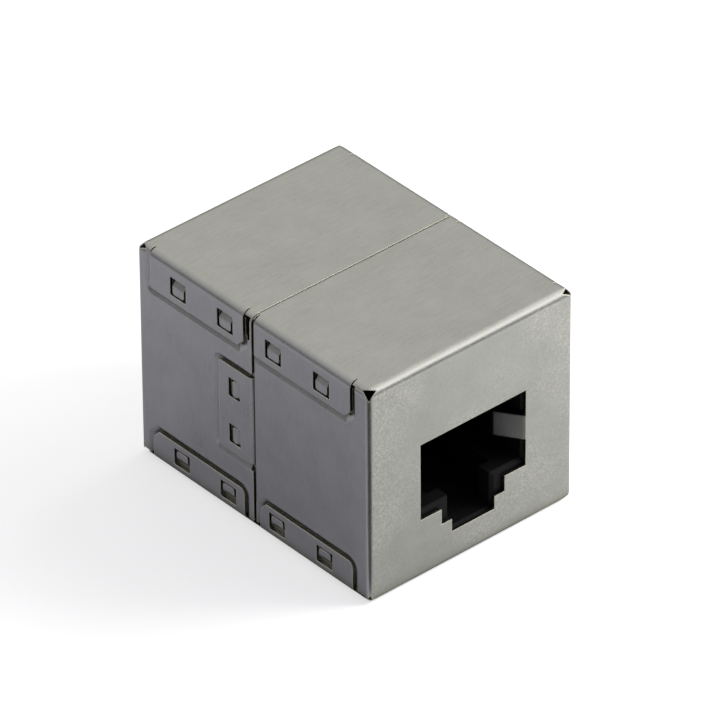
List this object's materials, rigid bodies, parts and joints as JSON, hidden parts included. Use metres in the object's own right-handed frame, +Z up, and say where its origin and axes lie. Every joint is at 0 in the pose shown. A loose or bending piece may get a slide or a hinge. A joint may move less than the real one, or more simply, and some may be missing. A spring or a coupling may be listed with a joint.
{
  "type": "rj45 inline coupler",
  "caption": "Shielded inline coupler: two folded metal boxes back to back, each with a stepped port for a modular plug, spring contacts joined through a small circuit board.",
  "frame": {"origin": "middle of the underside, on the seam between the two boxes", "axes": "front port faces -Y, rear port +Y, +Z up; the latch keyways are at the bottom of the ports"},
  "size_m": [0.023, 0.03, 0.0221],
  "materials": {
    "plated_sheet": "brushed nickel plating on folded sheet",
    "jack_plastic": "black moulded plastic",
    "carrier_plastic": "black moulded plastic",
    "board_laminate": "green solder mask on laminate",
    "contact_metal": "gold-plated spring strip"
  },
  "bodies": {
    "root": {"circuit_board": "board_laminate", "front_shield": "plated_sheet", "front_jack_housing": "jack_plastic", "front_contact_carrier": "carrier_plastic", "front_contact_1": "contact_metal", "front_contact_2": "contact_metal", "front_contact_3": "contact_metal", "front_contact_4": "contact_metal", "front_contact_5": "contact_metal", "front_contact_6": "contact_metal", "front_contact_7": "contact_metal", "front_contact_8": "contact_metal", "rear_shield": "plated_sheet", "rear_jack_housing": "jack_plastic", "rear_contact_carrier": "carrier_plastic", "rear_contact_1": "contact_metal", "rear_contact_2": "contact_metal", "rear_contact_3": "contact_metal", "rear_contact_4": "contact_metal", "rear_contact_5": "contact_metal", "rear_contact_6": "contact_metal", "rear_contact_7": "contact_metal", "rear_contact_8": "contact_metal"}
  },
  "joints": []
}
